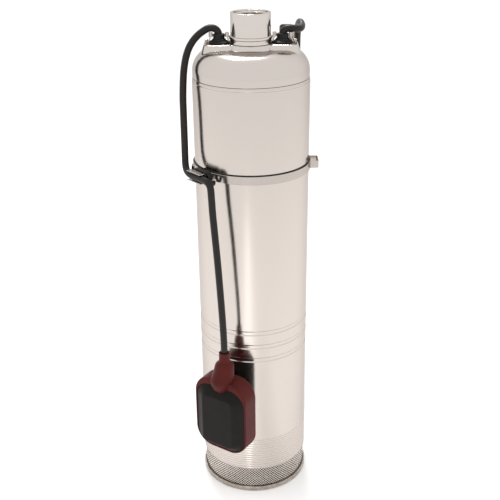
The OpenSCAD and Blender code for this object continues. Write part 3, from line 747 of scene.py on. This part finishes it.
# the floor inside the lip gets the painted shade
for face in basePlate.data.polygons:
    if face.center.z > 3.6 * mm and face.center.to_2d().length < 71.9 * mm:
        face.material_index = 1

sieve = {"radius": 73.2, "columns": 112, "rows": 18, "firstRow": 4.5, "holeShare": 0.31, "thickness": 0.8}


def sieveTile():
    # one diamond of sheet with an eight-sided hole, lying in the x-z plane
    pitch = 2 * math.pi * sieve["radius"] / sieve["columns"]
    half = pitch / 2
    outline = []
    for k in range(4):
        a = math.radians(90 * k)
        b = math.radians(90 * (k + 1))
        outline.append((half * math.cos(a), half * math.sin(a)))
        outline.append((half * (math.cos(a) + math.cos(b)) / 2, half * (math.sin(a) + math.sin(b)) / 2))
    hole = [(pitch * sieve["holeShare"] * math.cos(math.radians(45 * k)),
             pitch * sieve["holeShare"] * math.sin(math.radians(45 * k))) for k in range(8)]
    points = [(x, 0, z) for x, z in outline + hole]
    points += [(x, sieve["thickness"], z) for x, z in outline + hole]
    faces = []
    for k in range(8):
        n = (k + 1) % 8
        faces.append((k, n, 8 + n, 8 + k))
        faces.append((16 + n, 16 + k, 24 + k, 24 + n))
        faces.append((8 + k, 8 + n, 24 + n, 24 + k))
    return points, faces


def addGroup(name, inputs):
    tree = bpy.data.node_groups.new(name, "GeometryNodeTree")
    tree.interface.new_socket("Geometry", in_out="INPUT", socket_type="NodeSocketGeometry")
    for label, kind in inputs:
        tree.interface.new_socket(label, in_out="INPUT", socket_type=kind)
    tree.interface.new_socket("Geometry", in_out="OUTPUT", socket_type="NodeSocketGeometry")
    return tree, addNode(tree, "NodeGroupInput")


def settleNodes(piece, tree, values):
    # sets the inputs, then keeps the result as a plain mesh without the modifier
    modifier = piece.modifiers.new(tree.name, "NODES")
    modifier.node_group = tree
    for item in tree.interface.items_tree:
        if item.in_out == "INPUT" and item.name in values:
            modifier[item.identifier] = values[item.name]
    bpy.context.view_layer.update()
    result = bpy.data.meshes.new_from_object(piece.evaluated_get(bpy.context.evaluated_depsgraph_get()))
    result.name = piece.name
    piece.modifiers.clear()
    piece.data = result
    finishMesh(result)


def perforateNodes(material):
    # repeats the tile in staggered rows on a flat sheet, then rolls the sheet into a cylinder
    tree, start = addGroup("rolled perforation", [
        ("Radius", "NodeSocketFloat"), ("Columns", "NodeSocketInt"),
        ("Rows", "NodeSocketInt"), ("First Row", "NodeSocketFloat")])
    radius = start.outputs["Radius"]
    index = addNode(tree, "GeometryNodeInputIndex").outputs["Index"]
    girth = addNode(tree, "ShaderNodeMath", {1: 2 * math.pi}, {0: radius}, operation="MULTIPLY").outputs[0]
    pitch = addNode(tree, "ShaderNodeMath", links={0: girth, 1: start.outputs["Columns"]},
                    operation="DIVIDE").outputs[0]
    count = addNode(tree, "ShaderNodeMath", links={0: start.outputs["Columns"], 1: start.outputs["Rows"]},
                    operation="MULTIPLY").outputs[0]
    column = addNode(tree, "ShaderNodeMath", links={0: index, 1: start.outputs["Columns"]},
                     operation="MODULO").outputs[0]
    row = addNode(tree, "ShaderNodeMath", links={0: index, 1: start.outputs["Columns"]},
                  operation="DIVIDE").outputs[0]
    row = addNode(tree, "ShaderNodeMath", links={0: row}, operation="FLOOR").outputs[0]
    odd = addNode(tree, "ShaderNodeMath", {1: 2}, {0: row}, operation="MODULO").outputs[0]
    column = addNode(tree, "ShaderNodeMath", {1: 0.5}, {0: odd, 2: column},
                     operation="MULTIPLY_ADD").outputs[0]
    along = addNode(tree, "ShaderNodeMath", links={0: column, 1: pitch}, operation="MULTIPLY").outputs[0]
    rise = addNode(tree, "ShaderNodeMath", {1: 0.5}, {0: pitch}, operation="MULTIPLY").outputs[0]
    height = addNode(tree, "ShaderNodeMath", links={0: row, 1: rise, 2: start.outputs["First Row"]},
                     operation="MULTIPLY_ADD").outputs[0]
    spot = addNode(tree, "ShaderNodeCombineXYZ", links={"X": along, "Z": height}).outputs["Vector"]
    spots = addNode(tree, "GeometryNodePoints", links={"Count": count, "Position": spot}).outputs[0]
    tiles = addNode(tree, "GeometryNodeInstanceOnPoints",
                    links={"Points": spots, "Instance": start.outputs["Geometry"]}).outputs[0]
    sheet = addNode(tree, "GeometryNodeRealizeInstances", links={"Geometry": tiles}).outputs[0]
    place = addNode(tree, "GeometryNodeInputPosition").outputs[0]
    parts = addNode(tree, "ShaderNodeSeparateXYZ", links={"Vector": place}).outputs
    angle = addNode(tree, "ShaderNodeMath", links={0: parts["X"], 1: radius}, operation="DIVIDE").outputs[0]
    depth = addNode(tree, "ShaderNodeMath", links={0: radius, 1: parts["Y"]},
                    operation="SUBTRACT").outputs[0]
    cosine = addNode(tree, "ShaderNodeMath", links={0: angle}, operation="COSINE").outputs[0]
    sine = addNode(tree, "ShaderNodeMath", links={0: angle}, operation="SINE").outputs[0]
    x = addNode(tree, "ShaderNodeMath", links={0: cosine, 1: depth}, operation="MULTIPLY").outputs[0]
    y = addNode(tree, "ShaderNodeMath", links={0: sine, 1: depth}, operation="MULTIPLY").outputs[0]
    rolled = addNode(tree, "ShaderNodeCombineXYZ",
                     links={"X": x, "Y": y, "Z": parts["Z"]}).outputs["Vector"]
    shell = addNode(tree, "GeometryNodeSetPosition",
                    links={"Geometry": sheet, "Position": rolled}).outputs[0]
    welded = addNode(tree, "GeometryNodeMergeByDistance", {"Distance": 0.02 * mm},
                     {"Geometry": shell}).outputs[0]
    finish = addNode(tree, "GeometryNodeSetMaterial", {"Material": material},
                     {"Geometry": welded}).outputs[0]
    addNode(tree, "NodeGroupOutput", links={"Geometry": finish})
    return tree


points, faces = sieveTile()
strainer = addPiece("strainer", points, faces, punchedSteel)
settleNodes(strainer, perforateNodes(punchedSteel), {
    "Radius": sieve["radius"] * mm, "Columns": sieve["columns"], "Rows": sieve["rows"],
    "First Row": sieve["firstRow"] * mm})
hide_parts("strainer")
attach(strainer, "pump")


spring = {"from": 604.7, "to": 621.8, "radius": 6.5, "wire": 0.6, "turns": 4, "stepsPerTurn": 24,
          "lift": 8, "fixedEnd": 622.5}
print("valve spring")
helix = []
for k in range(spring["stepsPerTurn"] * spring["turns"] + 1):
    angle = 2 * math.pi * k / spring["stepsPerTurn"]
    rise = (spring["to"] - spring["from"]) * k / spring["stepsPerTurn"] / spring["turns"]
    helix.append(Vector((spring["radius"] * math.cos(angle), spring["radius"] * math.sin(angle),
                         spring["from"] + rise)))
valveSpring = addPiece("valveSpring", *tubeParts(helix, spring["wire"], sides=12), barSteel, "pump",
                       ("valve_spring",))
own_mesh(valveSpring)


gland = {"x": 39.5, "z": 633, "flange": 13.2, "collar": 7.1, "screwX": 15.6,
         "blockX": 10.1, "blockWidth": 4.6, "blockFrom": 7.2, "blockTo": 12.4, "barY": 8.1}
print("glands")
grommetOutline = roundCorners([
    (4.45, -10), (8.3, -10), (8.3, 0.1), (gland["flange"], 0.1), (gland["flange"], 1.5), (11.4, 2.0),
    (9.2, 3.1), (8.0, 4.9), (gland["collar"], 5.4), (gland["collar"], 11), (4.45, 11)],
    [0, 0, 0, 0.2, 0.6, 0.8, 2, 1, 0.4, 0.8, 0.2])
grommets = joinParts(*[latheParts([(r, z + gland["z"]) for r, z in grommetOutline], 72, (s * gland["x"], 0))
                       for s in (-1, 1)])
addPiece("glandGrommets", *grommets, partRubber, "pump", ("gland_grommets",), sharpAngle=50)


def repeatNodes(material):
    # copies of one piece round an upright axis
    tree, start = addGroup("copies round an axis",
                           [("Count", "NodeSocketInt"), ("Centre", "NodeSocketVector")])
    index = addNode(tree, "GeometryNodeInputIndex").outputs["Index"]
    share = addNode(tree, "ShaderNodeMath", links={0: index, 1: start.outputs["Count"]},
                    operation="DIVIDE").outputs[0]
    turn = addNode(tree, "ShaderNodeMath", {1: 2 * math.pi}, {0: share}, operation="MULTIPLY").outputs[0]
    turned = addNode(tree, "ShaderNodeCombineXYZ", links={"Z": turn}).outputs["Vector"]
    spots = addNode(tree, "GeometryNodePoints", links={
        "Count": start.outputs["Count"], "Position": start.outputs["Centre"]}).outputs[0]
    copies = addNode(tree, "GeometryNodeInstanceOnPoints", links={
        "Points": spots, "Instance": start.outputs["Geometry"], "Rotation": turned}).outputs[0]
    solid = addNode(tree, "GeometryNodeRealizeInstances", links={"Geometry": copies}).outputs[0]
    finish = addNode(tree, "GeometryNodeSetMaterial", {"Material": material},
                     {"Geometry": solid}).outputs[0]
    addNode(tree, "NodeGroupOutput", links={"Geometry": finish})
    return tree


screwOutline = roundCorners(
    [(0, 0), (1.45, 0), (1.45, 2.6), (2.3, 2.6), (2.3, 4.0), (1.2, 4.4), (1.2, 3.5), (0, 3.5)],
    [0, 0, 0, 0.2, 0.5, 0.2, 0, 0])
screw = latheParts([(r, z + gland["z"]) for r, z in screwOutline], 24, (gland["x"] + gland["screwX"], 0))
glandScrews = addPiece("glandScrews", *screw, barSteel)
settleNodes(glandScrews, repeatNodes(barSteel), {"Count": 2, "Centre": (0, 0, 0)})
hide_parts("gland_screws")
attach(glandScrews, "pump")


def uprightStrip(path, thickness, low, high, bevel=0.2):
    # a strip bent in the x-z plane, as wide as low to high along y
    return moveParts(stripParts(path, thickness, low, high, bevel),
                     Matrix(((1, 0, 0), (0, 0, 1), (0, 1, 0))))


def clampParts(rear):
    # a yoke behind the collar: a thick block at each end, two slanting legs, a foot under the screw
    parts = []
    for side in (-1, 1):
        block = [(side * gland["blockX"], gland["blockFrom"]), (side * gland["blockX"], gland["blockTo"])]
        parts.append(uprightStrip(block, gland["blockWidth"], -3.4, 3.4, bevel=0.8))
        leg = [(side * 10.3, 7.4), (side * 12.3, 1.9)]
        if side == 1:
            leg.append((17.4, 1.9))
        parts.append(uprightStrip(roundCorners(leg, 1, closed=False), 1.4, -3.5, 3.5))
    bar = [(-11, rear * gland["barY"]), (11, rear * gland["barY"])]
    parts.append(stripParts(bar, 1.2, 6.4, 9.4, bevel=0.3))
    return joinParts(*parts)


toGland = Matrix.Translation((gland["x"], 0, gland["z"]))
yokes = joinParts(moveParts(clampParts(1), toGland),
                  moveParts(clampParts(-1), Matrix.Rotation(math.pi, 4, "Z") @ toGland))
addPiece("glandClamps", *yokes, fittingSteel, "pump", ("gland_clamps",))


strap = {"low": 472, "high": 482.5, "inside": 76.3, "thickness": 1, "tab": 4.95, "tabEnd": 89.4,
         "earWidth": 24, "earDepth": 11, "clipTurn": -49.5, "clipHeight": 477.8}
print("strap")


def bandPath():
    middle = strap["inside"] + strap["thickness"] / 2
    gapAngle = math.degrees(math.asin(strap["tab"] / middle))
    path = [(strap["tab"], strap["tabEnd"]), (strap["tab"], middle + 1.5)]
    for k in range(181):
        a = math.radians(90 - gapAngle - (360 - 2 * gapAngle) * k / 180)
        path.append((middle * math.cos(a), middle * math.sin(a)))
    return path + [(-strap["tab"], middle + 1.5), (-strap["tab"], strap["tabEnd"])]


def earParts(turn):
    half = strap["earWidth"] / 2 - 0.6
    back = -strap["inside"] - 0.2
    front = -strap["inside"] - strap["earDepth"] + 0.6
    path = roundCorners([(-half, back + 2), (-half, front), (half, front), (half, back + 2)], 2.2,
                        closed=False)
    loop = stripParts(path, 1.2, strap["low"] + 0.3, strap["high"] - 0.3, 0.25)
    return moveParts(loop, Matrix.Rotation(math.radians(turn), 4, "Z"))


band = stripParts(bandPath(), strap["thickness"], strap["low"], strap["high"])
addPiece("strapBand", *joinParts(band, earParts(strap["clipTurn"]), earParts(90)),
         fittingSteel, "pump", ("strap_band",), sharpAngle=40)
# a rubber liner under the strap; its black edge, standing 1.2 mm above the band, is painted shade for the
# gap over the band's top edge
lathe("strapLiner", roundCorners([
    (75.05, strap["low"]), (76.25, strap["low"]),
    (76.25, strap["high"] + 1.2), (75.05, strap["high"] + 1.2)],
    [0, 0, 0.5, 0]), partRubber, "pump", ("strap_liner",), segments=192)


def atClip(parts):
    return moveParts(parts, Matrix.Rotation(math.radians(strap["clipTurn"]), 4, "Z")
                     @ Matrix.Translation((0, -strap["inside"] - strap["earDepth"], strap["clipHeight"])))


def alongClip(path, thickness, low, high, bevel=0.2):
    # a strip bent in the y-z plane, running from low to high along the clip
    return moveParts(stripParts(path, thickness, low, high, bevel),
                     Matrix(((0, 0, 1), (1, 0, 0), (0, 1, 0))))


channel = roundCorners([(-9, -5.4), (-8.2, -6.1), (-0.6, -6.1), (-0.6, 6.1), (-8.2, 6.1), (-9, 5.4)],
                       [0, 0.5, 1.5, 1.5, 0.5, 0], closed=False)
curl = [(1.2 + 0.1 * k, 4.5 + 1.2 * k) for k in range(5)]
curl += [(3.0 - 1.4 * math.cos(math.radians(22 * k)), 10 + 1.8 * math.sin(math.radians(22 * k)))
         for k in range(7)]
addPiece("cableClip", *atClip(joinParts(alongClip(channel, 1.1, -14, 13), alongClip(curl, 0.7, -17, -11))),
         fittingSteel, "pump", ("cable_clip",), sharpAngle=40)
tongue = roundCorners([(-10, 6.6), (9, 6.6), (15, 6.2), (17.5, 2.5), (15.8, -3.6), (18.4, -7.8),
                       (22.6, -7.2), (23.6, -3.4), (21.4, -2.4)], 3, closed=False)
addPiece("clipRetainer", *atClip(joinParts(
    uprightStrip(tongue, 2.6, 0.6, 7.4, bevel=0.7),
    uprightStrip([(-8.5, 0), (8.5, 0)], 12, 1.8, 9.6, bevel=1.5))),
    partRubber, "pump", ("clip_retainer",), sharpAngle=50)


floatSwitch = {"centre": (-38.5, -105, 159), "turn": -33.5, "width": 81, "length": 108, "corner": 26,
               "frame": 13, "face": (77, 95), "pad": (48.6, 74), "faceMiddle": -3.5, "padMiddle": -5}
print("float")


def atFloat(parts):
    return moveParts(parts, Matrix.Translation(floatSwitch["centre"])
                     @ Matrix.Rotation(math.radians(floatSwitch["turn"]), 4, "Z"))


def shellParts():
    # a frame with a rounded lip, whose inside edge meets the black faces
    width = floatSwitch["width"]
    length = floatSwitch["length"]
    face = floatSwitch["face"]
    half = floatSwitch["frame"]
    corner = floatSwitch["corner"]
    middle = floatSwitch["faceMiddle"]
    inside = [(11.2, face[0], face[1], 21.9, middle),
              (half - 0.5, face[0] + 0.1, face[1] + 0.1, 22, middle)]
    lip = [(half - 0.1, face[0] + 0.7, face[1] + 0.7, 22.3, middle)]
    outside = [(half, width - 2.2, length - 2.2, corner - 1, 0),
               (half - 0.35, width - 1.1, length - 1.1, corner - 0.5, 0),
               (half - 1.2, width - 0.3, length - 0.3, corner - 0.1, 0),
               (half - 2.4, width, length, corner, 0),
               (half - 3, width, length, corner, 0)]
    front = [(-y, w, h, r, z) for y, w, h, r, z in inside + lip + outside]
    back = [(y, w, h, r, z) for y, w, h, r, z in reversed(inside + lip + outside)]
    return loftParts(front + back, 14)


def faceParts(side):
    # a flange inside the frame, then sloping sides up to a flat pad
    face = floatSwitch["face"]
    pad = floatSwitch["pad"]
    flat = floatSwitch["faceMiddle"]
    top = floatSwitch["padMiddle"]
    levels = [(11, face[0] - 0.2, face[1] - 0.2, 21.8, flat),
              (12.1, face[0] - 0.2, face[1] - 0.2, 21.8, flat)]
    for t in (0, 0.03, 0.07, 0.3, 0.6, 0.9, 0.95, 0.98, 1):
        levels.append((12.3 + 8.4 * t, face[0] - 1 + (pad[0] + 1 - face[0]) * t,
                       face[1] - 1 + (pad[1] + 1 - face[1]) * t,
                       21.4 - 14.4 * t, flat + (top - flat) * t))
    levels += [(20.9, pad[0] - 0.9, pad[1] - 0.9, 6.6, top), (21, pad[0] - 1.8, pad[1] - 1.8, 6.2, top),
               (21, pad[0] - 6, pad[1] - 6, 4.5, top)]
    return loftParts([(side * y, w, h, r, z) for y, w, h, r, z in levels], 14)


addPiece("floatShell", *atFloat(shellParts()), maroonPlastic, "float", ("float_shell",), sharpAngle=40)
addPiece("floatCovers", *atFloat(joinParts(faceParts(-1), faceParts(1))), blackPlastic, "float",
         ("float_covers",), sharpAngle=30)


def bootParts(segments=64):
    # an upright cone over the cable; lower down it leans forward and ends in a round tip over the face
    levels = [(84, 4.6, 0), (91.2, 5.0, 0), (92, 5.6, 0), (92.1, 6.5, 0), (91.6, 7.1, 0), (80, 7.2, 0),
              (78.6, 7.7, 0), (77.4, 9.2, 0), (75.6, 11.2, -0.1), (74.0, 12.2, -0.2), (72.4, 12.7, -0.4),
              (66, 13.6, -1.8), (60, 14.6, -4.0), (56, 15.2, -5.6)]
    for k in range(10):
        a = math.radians(9 * k)
        levels.append((54 - 20 * math.sin(a), 15.5 * math.cos(a), -6.4 - 0.6 * math.sin(a)))
    points = []
    faces = []
    for z, radius, forward in levels:
        for s in range(segments):
            a = 2 * math.pi * s / segments
            points.append((radius * math.cos(a), forward + radius * math.sin(a), z))
    for i in range(len(levels) - 1):
        for s in range(segments):
            n = (s + 1) % segments
            faces.append((i * segments + s, i * segments + n, (i + 1) * segments + n,
                          (i + 1) * segments + s))
    last = (len(levels) - 1) * segments
    faces.append(tuple(range(segments)))
    faces.append(tuple(last + s for s in range(segments - 1, -1, -1)))
    return points, faces


addPiece("floatBoot", *atFloat(bootParts()), maroonPlastic, "float", ("float_boot",), sharpAngle=40)


studio = {"floorColour": "#fcfbfa", "floorSize": 12, "floorDrop": 0.0005, "skyStrength": 1.1,
          "crownPlace": (-0.16, 1.0, 2.08), "crownSize": (0.6, 0.55), "crownPower": 26,
          "stripPlace": (-0.113, -0.64, 0.12), "stripSize": (0.06, 1.0), "stripTurn": -10,
          "stripPower": 0.5}
print("studio")
bpy.context.scene.view_settings.view_transform = "Standard"
bpy.ops.mesh.primitive_plane_add(size=studio["floorSize"], location=(0, 0, -studio["floorDrop"]))
floor = bpy.context.object
floor.name = "floor"
floorMaterial, tree, place = startMaterial("paper, matt white")
shader = addNode(tree, "ShaderNodeBsdfPrincipled",
                 {"Base Color": toLinear(studio["floorColour"]), "Roughness": 0.8})
addNode(tree, "ShaderNodeOutputMaterial", links={"Surface": shader.outputs["BSDF"]})
floor.data.materials.append(floorMaterial)
world = bpy.data.worlds.new("studio")
bpy.context.scene.world = world
world.use_nodes = True
world.node_tree.nodes["Background"].inputs["Color"].default_value = (1, 1, 1, 1)
world.node_tree.nodes["Background"].inputs["Strength"].default_value = studio["skyStrength"]
crownLight = bpy.data.lights.new("crownLight", "AREA")
crownLight.shape = "RECTANGLE"
crownLight.size, crownLight.size_y = studio["crownSize"]
crownLight.energy = studio["crownPower"]
crown = bpy.data.objects.new("crownLight", crownLight)
crown.location = studio["crownPlace"]
crown.rotation_euler = (Vector((0, 0, 0.6)) - crown.location).to_track_quat("-Z", "Y").to_euler()
bpy.context.scene.collection.objects.link(crown)
stripLight = bpy.data.lights.new("stripLight", "AREA")
stripLight.shape = "RECTANGLE"
stripLight.size, stripLight.size_y = studio["stripSize"]
stripLight.energy = studio["stripPower"]
strip = bpy.data.objects.new("stripLight", stripLight)
strip.location = studio["stripPlace"]
strip.rotation_euler = (0, 0, math.radians(studio["stripTurn"]))
bpy.context.scene.collection.objects.link(strip)
